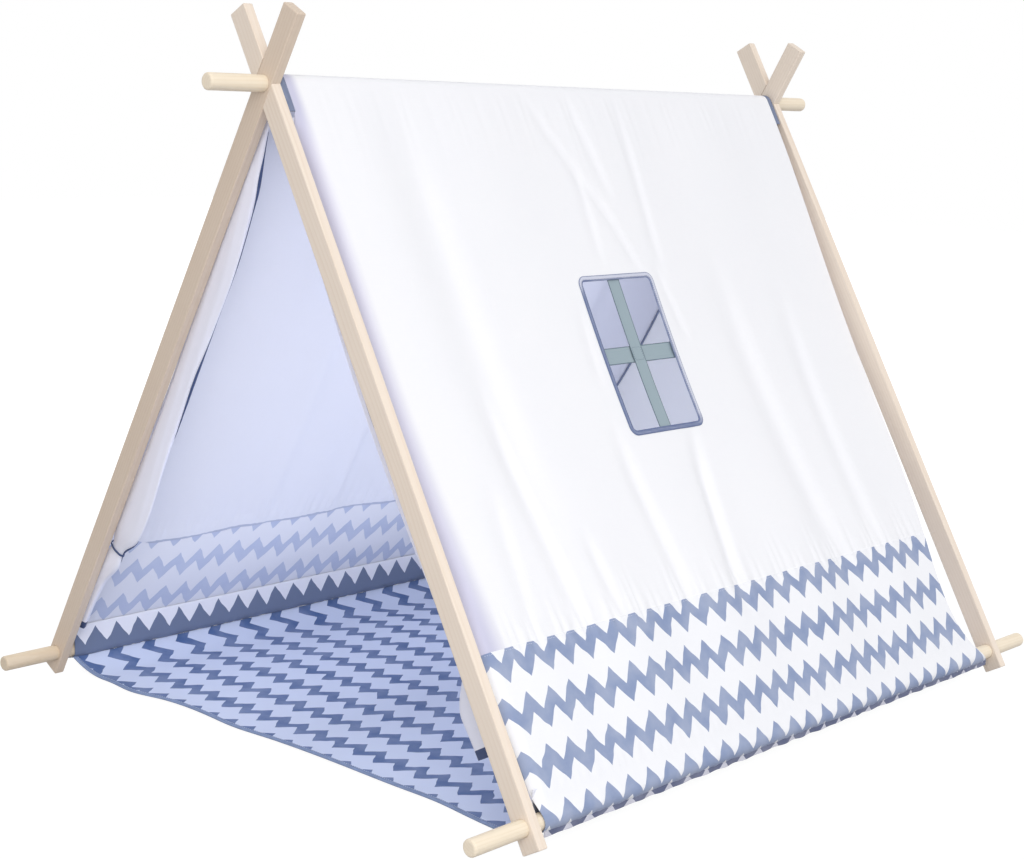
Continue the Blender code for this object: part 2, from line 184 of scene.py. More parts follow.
floor_finish = Finish("floor_white", 0.9)
floor_finish.surface("Base Color", floor_grey)
in_view, in_gloss, passing = floor_finish.rays("Camera", "Glossy", "Transmission")
shows_white = (in_view + in_gloss + passing).math("MINIMUM", 1.0)
floor_place = floor_finish.node("ShaderNodeTexCoord", {}, {}, "Object")
length = {"operation": "LENGTH"}
from_tent = floor_finish.node("ShaderNodeVectorMath", length, {0: floor_place}, "Value")
kept_shadow = floor_shadow_share * (1 - from_tent.rise(*floor_shadow_fade))
glowing = {"Color": pure_white, "Strength": floor_glow}
glow = floor_finish.node("ShaderNodeEmission", {}, glowing)
ground = Value(floor_finish, floor_finish.shader.outputs[0])
floor_finish.show("Material Output", shows_white * (1 - kept_shadow), ground, glow)
floor_mesh.materials.append(floor_finish.material)

sky_strength = 0.57
sky_tint = (0.95, 0.96, 1.0)
sky = bpy.data.worlds.new("sky")
bpy.context.scene.world = sky
sky.use_nodes = True
sky_nodes = Nodes(sky.node_tree)
sky_light = sky_nodes.tree.nodes["Background"]
sky_nodes.give(sky_light.inputs["Color"], sky_tint)
sky_nodes.give(sky_light.inputs["Strength"], sky_strength)
sky_white = {"Color": pure_white, "Strength": 1.0}
sky_backdrop = sky_nodes.node("ShaderNodeBackground", {}, sky_white)
in_view, in_gloss = sky_nodes.rays("Camera", "Glossy")
sky_lit = Value(sky_nodes, sky_light.outputs[0])
sky_nodes.show("World Output", in_view.math("MAXIMUM", in_gloss), sky_lit, sky_backdrop)

# A soft high lamp and a wide one light the window's slope, another stands beside the camera and
# one lights the far sides. Three under the canvas give the daylight that cotton lets through.
high_lamp_spread = 40
warm = (1.0, 0.985, 0.97)
nearly_white = (1.0, 0.985, 0.985)
through_cotton = (0.97, 0.98, 1.0)
# Each wide lamp: its place, a place that it faces, its strength, colour, width and height
wide_lamps = {
    "side_lamp": ((1.5, -2.1, 1.1), (0.1, -0.4, 0.4), 17, nearly_white, 1.3, 1.3),
    "back_lamp": ((2.4, 1.3, 1.3), (0.4, 0.35, 0.5), 8, pure_white, 1.2, 1.2),
    "fill_lamp": ((-2.3, 1.9, 1.5), (-0.1, 0.3, 0.4), 30, pure_white, 1.8, 1.8),
    "glow_from_mat": ((0, -0.03, 0.04), (0, -0.03, 1), 1.30, through_cotton, 0.66, 0.86),
    "glow_to_left": ((0, -0.06, 0.48), (-1, -0.06, 0.48), 0.62, through_cotton, 0.80, 0.62),
    "glow_to_right": ((0, -0.06, 0.48), (1, -0.06, 0.48), 0.62, through_cotton, 0.80, 0.62),
}


def lamp(name, kind, place, towards, strength, colour):
    """A lamp at a place that faces another. The camera doesn't see it."""
    light = bpy.data.lights.new(name, kind)
    light.energy = strength
    light.color = colour
    holder = bpy.data.objects.new(name, light)
    x, y, z = (b - a for a, b in zip(place, towards))
    holder.location = place
    holder.rotation_euler = (math.atan2(math.hypot(x, y), -z), 0, math.atan2(-x, y))
    holder.visible_camera = False
    holder.visible_glossy = False
    bpy.context.scene.collection.objects.link(holder)
    return light


high_lamp = lamp("high_lamp", "SUN", (2.6, -1.0, 2.4), (0, 0, 0.3), 1.08, warm)
high_lamp.angle = math.radians(high_lamp_spread)
for lamp_name, (*lamp_settings, lamp_width, lamp_height) in wide_lamps.items():
    wide_lamp = lamp(lamp_name, "AREA", *lamp_settings)
    wide_lamp.shape = "RECTANGLE"
    wide_lamp.size = lamp_width
    wide_lamp.size_y = lamp_height


# The four legs are planed pine, 30 x 15 mm, lapped into each other where they cross. The grain
# runs along each leg, with growth rings as faint lines on the faces and as arcs on the ends.
leg_lean = math.radians(29.4)
sin_lean = math.sin(leg_lean)
cos_lean = math.cos(leg_lean)
foot_to_crossing = 1.000
leg_width = 0.030
leg_edge_round = 0.0015
foot_ease = leg_edge_round * (sin_lean + cos_lean - 1)
crossing_height = foot_to_crossing * cos_lean + leg_width / 2 * sin_lean - foot_ease
pine_pale = (0.84, 0.735, 0.625)
pine_ring = (0.72, 0.585, 0.455)
# Painted shade: the front-left leg and the left base pole are painted darker by this tone, for the
# light that falls off towards the tent's left.
left_side_shade_tone = (0.84, 0.80, 0.76)
left_shaded_woods = ("front_left_leg", "left_base_pole")
ring_width = 0.0042
ring_wander = 0.020


def pine(node, turn, centre, pith, colours):
    """Gives a node softwood sawn along its own Z, which a turn brings upright.

    The distance from the pith, plus a slow wander, is cut into rings; each ring darkens towards
    its outer edge. Long thin fibres add a fine streak and a slight relief."""
    # Painted shade: the left pieces' pine colours are darkened here.
    tone = left_side_shade_tone if node in left_shaded_woods else pure_white
    pale, ring = ([part * share for part, share in zip(colour, tone)] for colour in colours)
    finish = Finish(f"pine_{node}", 0.55)
    place = finish.node("ShaderNodeTexCoord", {}, {}, "Object")
    moved = finish.node("ShaderNodeVectorMath", {"operation": "SUBTRACT"}, {0: place, 1: centre})
    own = finish.node("ShaderNodeMapping", {}, {"Vector": moved, "Rotation": turn})
    x, y, z = finish.split(own)
    slow = finish.noise(x * 6, y * 6, z * 1.4, 1.6, 2.0)
    across, through = x - pith[0], y - pith[1]
    from_pith = (across * across + through * through).math("SQRT")
    rings = ((from_pith + slow * ring_wander) / ring_width).math("FRACT")
    late = rings.rise(0.35, 0.92) * (1 - rings.rise(0.94, 1.0))
    fibre = finish.noise(x * 900, y * 900, z * 16)
    patch = finish.noise(x * 9, y * 9, z * 3, detail=2.0)
    dark = late * 0.24 + (fibre - 0.5) * 0.45 + (patch - 0.5) * 0.70 + 0.10
    finish.surface("Base Color", finish.mix(dark.rise(-0.15, 1.15), pale, ring))
    finish.surface("Roughness", 0.50 + late * 0.10)
    finish.relief(fibre * 0.7 + late * 0.3, 0.00025)
    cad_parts[node].material_slots[0].material = finish.material


leg_piths = {
    "front_left_leg": (0.038, 0.016),
    "front_right_leg": (-0.030, 0.022),
    "back_left_leg": (0.026, -0.020),
    "back_right_leg": (-0.044, 0.012),
}
for leg_name, leg_pith in leg_piths.items():
    leg_turn = (0, leg_lean if "right" in leg_name else -leg_lean, 0)
    leg_low, leg_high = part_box(leg_name)
    leg_centre = (0, (leg_low[1] + leg_high[1]) / 2, crossing_height)
    pine(leg_name, leg_turn, leg_centre, leg_pith, (pine_pale, pine_ring))


# The three round poles are 22 mm pine dowel with eased ends. They are a little yellower than the
# legs, and their rings show on the sawn ends.
pole_diameter = 0.022
dowel_pale = (0.88, 0.78, 0.62)
dowel_ring = (0.76, 0.62, 0.44)
dowel_piths = {
    "ridge_pole": (0.009, 0.004),
    "left_base_pole": (-0.012, 0.006),
    "right_base_pole": (0.006, -0.014),
}
for pole_name, pole_pith in dowel_piths.items():
    pole_centre = [(a + b) / 2 for a, b in zip(*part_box(pole_name))]
    pine(pole_name, (math.pi / 2, 0, 0), pole_centre, pole_pith, (dowel_pale, dowel_ring))


# The slopes are white cotton canvas, hung from the ridge pole down to the printed bands. They sag a
# little, the right one's front edge curls in behind the leg, and creases run down from the ridge,
# past the window and into the seam of the band. The left one has no window.
sides = {"right": 1, "left": -1}
frame_spacing = 1.082
leg_thickness = 0.015
canvas_thickness = 0.0012
cloth_thickness = 0.0010
seam_gap = 0.0003
sleeve_clearance = 0.0004
foot_to_base_pole = 0.031
band_height = 0.204
stitch_above_pole = 0.037
seam_to_tie = 0.013
tape_to_leg = 0.0012
ridge_tape_width = 0.010
slope_sag = 0.019
back_edge_bow = 0.060
bow_shares = (8.0, 1.0)
front_roll_width = 0.026
front_roll_depth = 0.022
front_roll_start = 0.030
front_roll_rise = 0.100
turned_edge = 0.0095
turned_edge_width = 0.015
turned_edge_start = (0.040, 0.075)
left_edge_reach = 0.0038
left_edge_width = 0.030
left_edge_start = (0.046, 0.080)
ridge_folds = 4
ridge_fold_height = 0.004
ridge_fold_reach = 0.080
band_folds = 5
band_fold_height = 0.005
band_fold_reach = 0.180
quiet_fold_edge = 0.120
calm_share = 0.45
gather_drifts = ((0.35, 0.113), (0.25, 0.047))
seam_gather_height = 0.0011
seam_gather_pitch = 0.0195
seam_gather_above = (0.030, 0.012, 0.083)
seam_gather_below = 0.013
ridge_gather_height = 0.00025
ridge_gather_pitch = 0.034
ridge_gather_reach = 0.032
gather_start = (0.020, 0.050)
gather_end = (0, 0.030)
window_width = 0.151
window_height = 0.226
window_corner = 0.007
window_to_ridge = 0.295
window_from_front = 0.506
edge_line = 0.0008
seam_lap = 0.017
hem_tuck_depth = 0.0009
hem_tuck_run = 0.005
hem_share_at_edge = 0.30
hem_uneven_to = (0.040, 0.100)
hem_waves = ((0.05, 40), (0.03, 97))
seam_rows_above = 0.030
slope_steps = (0.0060, 0.0040)

slope_run = foot_to_crossing - foot_to_base_pole
wrap_radius = pole_diameter / 2 + sleeve_clearance + canvas_thickness / 2
ridge_wrap = math.pi / 2 - leg_lean
seam_at = slope_run - band_height
stitch_at = slope_run - stitch_above_pole
tie_at = seam_at - seam_to_tie
canvas_front = (leg_thickness - frame_spacing) / 2 + tape_to_leg + ridge_tape_width + seam_gap
canvas_back = -canvas_front
sleeve_bottom = slope_run + wrap_radius * math.pi / 2
base_pole_x = slope_run * sin_lean
base_pole_z = crossing_height - slope_run * cos_lean
ply_down = -stitch_above_pole
ply_out = wrap_radius - canvas_thickness - seam_gap
ply_reach = math.hypot(ply_down, ply_out)
ply_angle = math.atan2(ply_down, ply_out) + 2 * math.pi
sleeve_turn = ply_angle - math.acos(wrap_radius / ply_reach)
wrap_end = slope_run + wrap_radius * sleeve_turn
sleeve_end = wrap_end + math.sqrt(ply_reach**2 - wrap_radius**2)
window_foot = window_to_ridge + window_height
window_middle = window_to_ridge + window_height / 2
window_low_y = canvas_front + window_from_front - window_width / 2
window_high_y = window_low_y + window_width
window_centre_y = (window_low_y + window_high_y) / 2

# Each crease: where it starts and ends (down the slope, along Y), its half-width and its height
right_creases = (
    ((0.02, -0.350), (0.62, -0.322), 0.034, -0.0075),
    ((0.42, -0.350), (0.79, -0.330), 0.014, -0.0050),
    ((0.64, -0.270), (0.78, -0.258), 0.010, -0.0036),
    ((0.50, -0.130), (0.79, -0.112), 0.013, -0.0055),
    ((0.52, 0.036), (0.80, -0.010), 0.013, -0.0080),
    ((0.26, 0.226), (0.80, 0.254), 0.024, -0.0075),
    ((0.32, 0.372), (0.80, 0.352), 0.018, -0.0058),
    ((0.00, -0.090), (0.20, 0.010), 0.010, -0.0028),
    ((0.00, 0.004), (0.17, 0.032), 0.010, -0.0028),
    ((0.10, -0.022), (0.27, -0.032), 0.009, -0.0026),
    ((0.00, 0.116), (0.29, 0.096), 0.010, -0.0032),
    ((0.15, -0.004), (0.29, 0.048), 0.009, -0.0030),
    ((0.27, 0.082), (0.40, 0.104), 0.008, -0.0026),
    ((0.33, -0.112), (0.45, -0.120), 0.009, -0.0020),
    ((0.55, -0.400), (0.80, -0.430), 0.016, -0.0040),
)
left_creases = (
    ((0.04, 0.300), (0.70, 0.330), 0.030, -0.0060),
    ((0.45, 0.210), (0.80, 0.190), 0.016, -0.0050),
    ((0.40, 0.040), (0.80, 0.060), 0.020, -0.0060),
    ((0.52, -0.110), (0.80, -0.080), 0.014, -0.0055),
    ((0.30, -0.260), (0.80, -0.230), 0.024, -0.0060),
    ((0.00, -0.060), (0.24, -0.020), 0.010, -0.0028),
    ((0.00, 0.120), (0.30, 0.100), 0.011, -0.0030),
    ((0.00, -0.340), (0.35, -0.320), 0.020, -0.0040),
)
crease_sides = (0.75, 1.35)
crease_start = (-0.08, 0.35)
crease_end = (0.75, 1.10)


def smooth_rise(low, high, value):
    """0 below low, 1 above high and a smooth rise between."""
    share = np.clip((value - low) / (high - low), 0, 1)
    return share * share * (3 - 2 * share)


def between(start, end, value):
    """A smooth rise from 0 to 1 over the start, and back to 0 over the end."""
    return smooth_rise(*start, value) * (1 - smooth_rise(*end, value))


def bump(value, middle, reach):
    return np.exp(-(((value - middle) / reach) ** 2))


def wave(turns):
    return np.sin(2 * math.pi * turns)


def lines(stops, step):
    """Even lines between stops, about a step apart, with a line on each stop."""
    runs = zip(stops, stops[1:])
    counts = [(a, b, max(1, round(abs(b - a) / step))) for a, b in runs]
    parts = [np.linspace(a, b, count, endpoint=False) for a, b, count in counts]
    return np.concatenate([*parts, stops[-1:]])


def edged(low, *middle, high):
    """Stops from low to high, with one more just inside each."""
    return (low, low + edge_line, *middle, high - edge_line, high)


def grid(rows, columns):
    return np.meshgrid(rows, columns, indexing="ij")


def pile(*parts):
    """One array whose last axis holds the parts, each spread to a common shape."""
    return np.stack(np.broadcast_arrays(*parts), axis=-1)


def path_length(points):
    """How far along a line each of its points lies."""
    steps = np.linalg.norm(np.diff(points, axis=0), axis=1)
    return np.concatenate(([0], np.cumsum(steps)))


def slope_point(side, distance, y, lift):
    """World points of the right (side 1) or left (side -1) slope.

    The profile goes over the ridge pole, straight down the slope, round the base pole and up."""
    over_ridge = np.minimum(distance, 0) / wrap_radius
    on_slope = np.clip(distance, 0, slope_run)
    past_slope = np.maximum(distance - slope_run, 0)
    round_base = np.minimum(past_slope / wrap_radius, sleeve_turn)
    past_wrap = np.maximum(past_slope - wrap_radius * sleeve_turn, 0)
    turn = over_ridge + round_base
    radius = wrap_radius + lift
    down = on_slope + radius * np.sin(turn) + past_wrap * math.cos(sleeve_turn)
    out = radius * np.cos(turn) - past_wrap * math.sin(sleeve_turn)
    x = side * (sin_lean * down + cos_lean * out)
    return pile(x, y, crossing_height - cos_lean * down + sin_lean * out)


def back_edge(distance):
    """Y of the back edge, bowed towards the door by share^a (1 - share)^b over its peak."""
    rise, fall = bow_shares
    near = sleeve_bottom - np.abs(distance - sleeve_bottom)
    share = np.clip(near / sleeve_bottom, 0, 1)
    top = rise / (rise + fall)
    peak = top**rise * (1 - top) ** fall
    return canvas_back - back_edge_bow * share**rise * (1 - share) ** fall / peak


def sag(distance):
    """How far the canvas hangs below the line from the ridge to the sleeve's stitches."""
    return slope_sag * np.sin(math.pi * np.clip(distance / stitch_at, 0, 1)) ** 2


def calm(distance, y):
    """1 on the open slope, falling to 0 at its front, back and bottom, where it is held."""
    quiet_to = front_roll_width + quiet_fold_edge
    front = smooth_rise(front_roll_width, quiet_to, y - canvas_front)
    back = smooth_rise(0, quiet_fold_edge, back_edge(distance) - y)
    base = smooth_rise(0, stitch_above_pole, stitch_at - distance)
    return front * back * base


def canvas_lift(side, distance, y):
    """Sag between the ridge and the sleeve, broad waves, and the front edge's curl behind the leg.

    The left slope's front edge lies flat, and the right one's is turned in all the way down."""
    from_front = y - canvas_front
    along = from_front / (canvas_back - canvas_front)
    below_ridge = np.maximum(distance, 0) / ridge_fold_reach
    waves = ridge_fold_height * below_ridge * np.exp(1 - below_ridge) * wave(ridge_folds * along)
    at_seam = band_fold_height * bump(distance, seam_at, band_fold_reach)
    waves = waves + at_seam * wave(band_folds * along)
    roll_start = (front_roll_start, front_roll_start + front_roll_rise)
    rolled = between(roll_start, (tie_at - front_roll_rise, tie_at), distance)
    share = 1 - np.clip(from_front / front_roll_width, 0, 1)
    roll = front_roll_depth * rolled * share * share
    below_tape = between(turned_edge_start, (stitch_at, slope_run), distance)
    near_edge = 1 - np.clip(from_front / turned_edge_width, 0, 1)
    turned = turned_edge * below_tape * near_edge * near_edge
    return calm_share * waves * calm(distance, y) - sag(distance) - (roll + turned) * (side > 0)


def crease_lift(distance, y, start, end, half_width, height):
    """A crease along a line: height * exp(-(off the line / half-width)^2), fading at its ends."""
    reach = math.hypot(end[0] - start[0], end[1] - start[1])
    down, across = (end[0] - start[0]) / reach, (end[1] - start[1]) / reach
    along = ((distance - start[0]) * down + (y - start[1]) * across) / reach
    off = (y - start[1]) * down - (distance - start[0]) * across
    width = half_width * np.where(off > 0, *crease_sides)
    return height * between(crease_start, crease_end, along) * bump(off, 0, width)


def small_gathers(distance, y):
    """Short pleats at the ridge and beside the band's seam, where the stitching draws it in."""
    drift = sum(share * wave(y / length) for share, length in gather_drifts)
    reach, change, length = seam_gather_above
    above = np.maximum(seam_at - distance, 0) / (reach + change * wave(y / length))
    below = np.maximum(distance - seam_at, 0) / seam_gather_below
    at_seam = seam_gather_height * np.exp(-above * above - below * below)
    from_ridge = np.maximum(distance, 0) / ridge_gather_reach
    at_ridge = ridge_gather_height * from_ridge * np.exp(1 - from_ridge)
    pleats = at_seam * wave(y / seam_gather_pitch + drift)
    return pleats + at_ridge * wave(y / ridge_gather_pitch + drift)


def cloth_lift(side, distance, y):
    """Everything that lifts a slope's cloth off its straight profile."""
    creases = right_creases if side > 0 else left_creases
    creased = sum(crease_lift(distance, y, *crease) for crease in creases)
    open_cloth = smooth_rise(*gather_start, y - canvas_front)
    open_cloth = open_cloth * smooth_rise(*gather_end, back_edge(distance) - y)
    lift = canvas_lift(side, distance, y) + calm(distance, y) * creased
    return lift + open_cloth * small_gathers(distance, y)


def cloth_point(side, distance, y, lift):
    return slope_point(side, distance, y, cloth_lift(side, distance, y) + lift)


def cloth_mesh(name, points, cloth, flipped=False, kept=None, closed=False):
    """A mesh of a grid of points, with their places in the flat cloth as its UV map, in metres.

    Only the kept cells are made. A closed grid joins its last column to its first."""
    rows, columns = points.shape[:2]
    ring = columns - 1 if closed else columns
    across, down = np.meshgrid(np.arange(columns - 1), np.arange(rows - 1))
    corners = [(down, across), (down, across + 1), (down + 1, across + 1), (down + 1, across)]
    corners = corners[::-1] if flipped else corners
    cells = pile(*(r * ring + c % ring for r, c in corners)).reshape(-1, 4)
    flat = pile(*(r * columns + c for r, c in corners)).reshape(-1, 4)
    if kept is not None:
        cells, flat = cells[kept.ravel()], flat[kept.ravel()]
    used, faces = np.unique(cells, return_inverse=True)
    mesh = bpy.data.meshes.new(name)
    mesh.from_pydata(points[:, :ring].reshape(-1, 3)[used], [], faces.reshape(-1, 4))
    layer = mesh.uv_layers.new(name="cloth")
    places = pile(*cloth).reshape(-1, 2)[flat.ravel()]
    layer.data.foreach_set("uv", places.astype(np.float32).ravel())
    mesh.shade_smooth()
    return mesh


def follow(piece, node=None):
    """Puts a piece in the scene, on the tent's body, in place of its CAD node if it has one."""
    bpy.context.scene.collection.objects.link(piece)
    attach(piece, "tent")
    if node:
        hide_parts(node)
    return piece


def sewn(name, node, points, cloth, look, thickness=None, **cells):
    """A piece of cloth on a grid of points: a shell, or a sheet of even thickness about them.

    Its look is its slot and its face, followed by its reverse where it is a sheet."""
    slot, *materials = look
    mesh = cloth_mesh(name, points, cloth, **cells)
    for material in materials:
        mesh.materials.append(material)
    piece = bpy.data.objects.new(name, mesh)
    if thickness:
        wall = piece.modifiers.new("thickness", "SOLIDIFY")
        wall.thickness = thickness
        wall.offset = 0
        wall.material_offset = 1
        wall.material_offset_rim = 0
    return follow(piece, node)


thread_spacing = 0.0011
thread_shade = (0.93, 0.94, 0.96)
thread_rate = 900
slub_rate = 45
wear_rate = 7


def woven(finish, colour):
    """Plain-woven cotton: a colour, varied by slubs along both threads, and a fine relief."""
    along, down = finish.on_cloth()
    warp = finish.noise(along * thread_rate, down * slub_rate, 0)
    weft = finish.noise(along * slub_rate, down * thread_rate, 3)
    thread = warp + weft - 1
    worn = finish.noise(along * wear_rate, down * wear_rate, 9)
    share = thread * 0.30 + (worn - 0.5) * 0.25 + 0.5
    darker = finish.mix(1.0, colour, thread_shade, "MULTIPLY")
    finish.surface("Base Color", finish.mix(share.rise(0, 1), colour, darker))
    finish.surface("Sheen Weight", 0.15)
    turns = 2 * math.pi / thread_spacing
    knots = (along * turns).math("SINE") * (down * turns).math("SINE")
    finish.relief(thread + knots * 0.25, 0.00018, 0.5)
    return finish.material


canvas_white = (0.905, 0.905, 0.918)
# Painted shade: a lilac band is painted along the canvas's front edge, widening down the slope,
# where the cloth curls in behind the leg.
front_edge_shade_lilac = (0.60, 0.595, 0.735)
# Painted shade: the canvas's reverse is painted a darker, bluer white than its face, for the shade
# inside the tent.
inside_shade_white = (0.785, 0.795, 0.872)
hem_edge_blue = (0.46, 0.50, 0.64)
face_finish = Finish("white_canvas_face", 0.92)
face_along, face_down = face_finish.on_cloth()
front_shade_share = (face_along - canvas_front) / (0.022 + face_down * 0.036)
front_edge_shade = 1 - front_shade_share.rise(0.25, 1.05)
reverse_finish = Finish("white_canvas_reverse", 0.92)
# A thin blue-grey line is painted along the hem's lower edge on the reverse.
hem_from_end = reverse_finish.on_cloth()[1] - (seam_at + seam_lap)
hem_edge_line = hem_from_end.rise(-0.0042, -0.0036)
white_canvas = (
    "white_canvas",
    woven(face_finish, face_finish.mix(front_edge_shade, canvas_white, front_edge_shade_lilac)),
    woven(reverse_finish, reverse_finish.mix(hem_edge_line, inside_shade_white, hem_edge_blue)),
)


def edge_reach(side, distance, y):
    """How far the left slope's front edge reaches towards its leg, below the tape at the ridge."""
    near_edge = 1 - smooth_rise(0, left_edge_width, y - canvas_front)
    return -left_edge_reach * (side < 0) * near_edge * smooth_rise(*left_edge_start, distance)


def hole_stops(low, high):
    """The window's edges in one direction, and where its corners end."""
    return low, low + window_corner, high - window_corner, high


def slope_grid(side):
    """Distances down a slope's cloth and places along Y, with an uneven hem under the band."""
    top = seam_gap / 2 - wrap_radius * ridge_wrap
    hole = hole_stops(window_to_ridge, window_foot)
    down_stops = edged(top, 0, *hole, seam_at - seam_rows_above, seam_at, high=seam_at + seam_lap)
    hole = hole_stops(window_low_y, window_high_y)
    along_stops = edged(canvas_front, canvas_front + front_roll_width, *hole, high=canvas_back)
    distance, column = grid(*map(lines, (down_stops, along_stops), slope_steps))
    lap = np.maximum(distance - seam_at, 0)
    uneven = smooth_rise(*hem_uneven_to, column - canvas_front)
    uneven = hem_share_at_edge + (1 - hem_share_at_edge) * uneven
    uneven = uneven * (1 + sum(height * np.sin(rate * column) for height, rate in hem_waves))
    distance = distance - lap + lap * uneven
    beyond = np.clip((column - window_high_y) / (canvas_back - window_high_y), 0, 1)
    bow = (back_edge(distance) - canvas_back) * beyond
    return distance, column + bow + edge_reach(side, distance, column)


def round_window(distance, y):
    """Draws the square hole's corners in to arcs: near a corner, a point moves along its ray from
    the arc's centre until it is a corner radius away."""
    from_middle_down = distance - window_middle
    from_middle = y - window_centre_y
    down = np.abs(from_middle_down) - (window_height / 2 - window_corner)
    across = np.abs(from_middle) - (window_width / 2 - window_corner)
    off = np.maximum(down, across) / window_corner
    on_hole = (down > 0) & (across > 0) & (off < 1.0001) & (off > 0.9999)
    far = np.maximum(np.hypot(down, across), window_corner)
    shrink = np.where(on_hole, 1 - window_corner / far, 0)
    distance = distance - np.sign(from_middle_down) * down * shrink
    return distance, y - np.sign(from_middle) * across * shrink


for slope_name, slope_side in sides.items():
    down, along = slope_grid(slope_side)
    kept_cells = None
    if slope_side > 0:
        cell_down, cell_along = ((part[:-1, :-1] + part[1:, 1:]) / 2 for part in (down, along))
        kept_cells = (cell_down < window_to_ridge) | (cell_down > window_foot)
        kept_cells |= (cell_along < window_low_y) | (cell_along > window_high_y)
        down, along = round_window(down, along)
    tuck = -hem_tuck_depth * smooth_rise(seam_at - hem_tuck_run, seam_at, down)
    sewn(
        f"{slope_name}_slope",
        f"{slope_name}_roof_panel",
        cloth_point(slope_side, down, along, tuck),
        (along, down),
        white_canvas,
        cloth_thickness,
        flipped=slope_side > 0,
        kept=kept_cells,
    )


# Stitches are short ends of white or navy thread, sewn by machine along the seams and the tapes.
# Each is a low eight-faced bead, long along its row and raised out of the cloth.
stitch_pitch = 0.0032
stitch_length = 0.0023
stitch_width = 0.0005
stitch_height = 0.00030
bead_faces = [(0, 2, 1), (0, 3, 2), (0, 4, 3), (0, 1, 4)]
bead_faces += [(5, 1, 2), (5, 2, 3), (5, 3, 4), (5, 4, 1)]
white_thread = Finish("white_thread", 0.7)
white_thread.surface("Base Color", (0.86, 0.87, 0.90))
navy_thread = Finish("navy_thread", 0.7)
navy_thread.surface("Base Color", (0.07, 0.10, 0.19))


def unit(vectors):
    return vectors / np.linalg.norm(vectors, axis=1, keepdims=True)


def stitches(name, places, out, thread):
    """A row of stitches, one at each place."""
    along = unit(np.gradient(places, axis=0))
    out = unit(out)
    end = along * stitch_length / 2
    side = np.cross(along, out) * stitch_width / 2
    top = out * stitch_height
    points = places[:, None, :] + np.stack((end, side, top, -side, -top, -end), axis=1)
    faces = np.array(bead_faces)[None] + 6 * np.arange(len(places))[:, None, None]
    mesh = bpy.data.meshes.new(name)
    mesh.from_pydata(points.reshape(-1, 3), [], faces.reshape(-1, 3))
    mesh.shade_smooth()
    mesh.materials.append(thread.material)
    return follow(bpy.data.objects.new(name, mesh))


def seam_stitches(name, side, distance, y, lift, thread, slot="white_canvas"):
    """Stitches on the outer side of a slope, evenly spaced along a line."""
    run = path_length(cloth_point(side, distance, y, lift))
    spots = np.arange(stitch_pitch / 2, run[-1], stitch_pitch)
    distance, y = np.interp(spots, run, distance), np.interp(spots, run, y)
    places = cloth_point(side, distance, y, lift)
    out = cloth_point(side, distance, y, lift + 0.001) - places
    return stitches(name, places, out, thread)


# The window's opening is bound with folded blue-grey tape, sewn on both edges, and two grey-green
# ribbons cross in it behind the canvas, sewn together in a square.
window_line_step = 0.004
window_tape_pale = (0.60, 0.62, 0.72)
window_tape_dark = (0.150, 0.190, 0.330)
# The tape's section, from its edge on the inside, round the hole's edge, to the one outside
tape_grows = (0.0050, 0.0048, 0.0010, -0.0008, -0.0008, 0.0010, 0.0034, 0.0060, 0.0070, 0.0070)
tape_lifts = (
    -0.00085, -0.00125, -0.00135, -0.0007, 0.0007, 0.0014, 0.00165, 0.0014, 0.00105, 0.0007
)
ribbon_width = 0.025
ribbon_overlap = 0.006
ribbon_thickness = 0.0006
ribbon_cup = 0.0006
ribbon_green = (0.315, 0.395, 0.435)
ribbon_dark = (0.12, 0.165, 0.20)
upright_ribbon_off = -0.003
ribbon_lifts = {"upright_ribbon": -0.0021, "level_ribbon": -0.0034}
# Each row of stitches round the window: how far outside the hole, and its lift
window_stitch_rows = ((0.0014, 0.0016), (0.0058, 0.0014))
stitched_square = 0.0095
stitched_square_lift = -0.00175


def taped(name, colour):
    """Folded cotton binding: fine ribs across the tape and slightly paler, worn patches."""
    finish = Finish(name, 0.85)
    along, across = finish.on_cloth()
    rib = (along * (2 * math.pi / 0.0009)).math("SINE")
    patch = finish.noise(along * 60, across * 200, 0)
    pale = [min(1, part * 1.5 + 0.03) for part in colour]
    worn = (patch * 0.9 + rib * 0.05).rise(0.1, 1.0)
    finish.surface("Base Color", finish.mix(worn, colour, pale))
    finish.relief(rib * 0.5 + patch, 0.00015)
    return "blue_tape", finish.material, finish.material


def rounded_box(half_down, half_along, corner, step):
    """Points round a rounded box about the middle: straight runs joined by quarter arcs."""
    arcs = []
    for quarter, (down_sign, along_sign) in enumerate(((-1, 1), (1, 1), (1, -1), (-1, -1))):
        angle = np.linspace(0, math.pi / 2, 8) + quarter * math.pi / 2
        down = down_sign * (half_down - corner) - corner * np.cos(angle)
        arcs.append(pile(down, along_sign * (half_along - corner) + corner * np.sin(angle)))
    closed = np.concatenate((*arcs, arcs[0][:1]))
    lengths = np.linalg.norm(np.diff(closed, axis=0), axis=1)
    counts = np.maximum(1, np.round(lengths / step)).astype(int)
    keys = [np.linspace(k, k + 1, n, endpoint=False) for k, n in enumerate(counts)]
    keys = np.concatenate((*keys, [len(counts)]))
    return pile(*(np.interp(keys, np.arange(len(closed)), part) for part in closed.T))


def window_line(grow):
    """A line round the window, outside its hole: lengths along it, distances and places on Y."""
    halves = (window_height / 2 + grow, window_width / 2 + grow)
    line = rounded_box(*halves, window_corner + grow, window_line_step)
    return path_length(line), window_middle + line[:, 0], window_centre_y + line[:, 1]


tape_finish = Finish("window_tape", 0.85)
tape_run, tape_across = tape_finish.on_cloth()
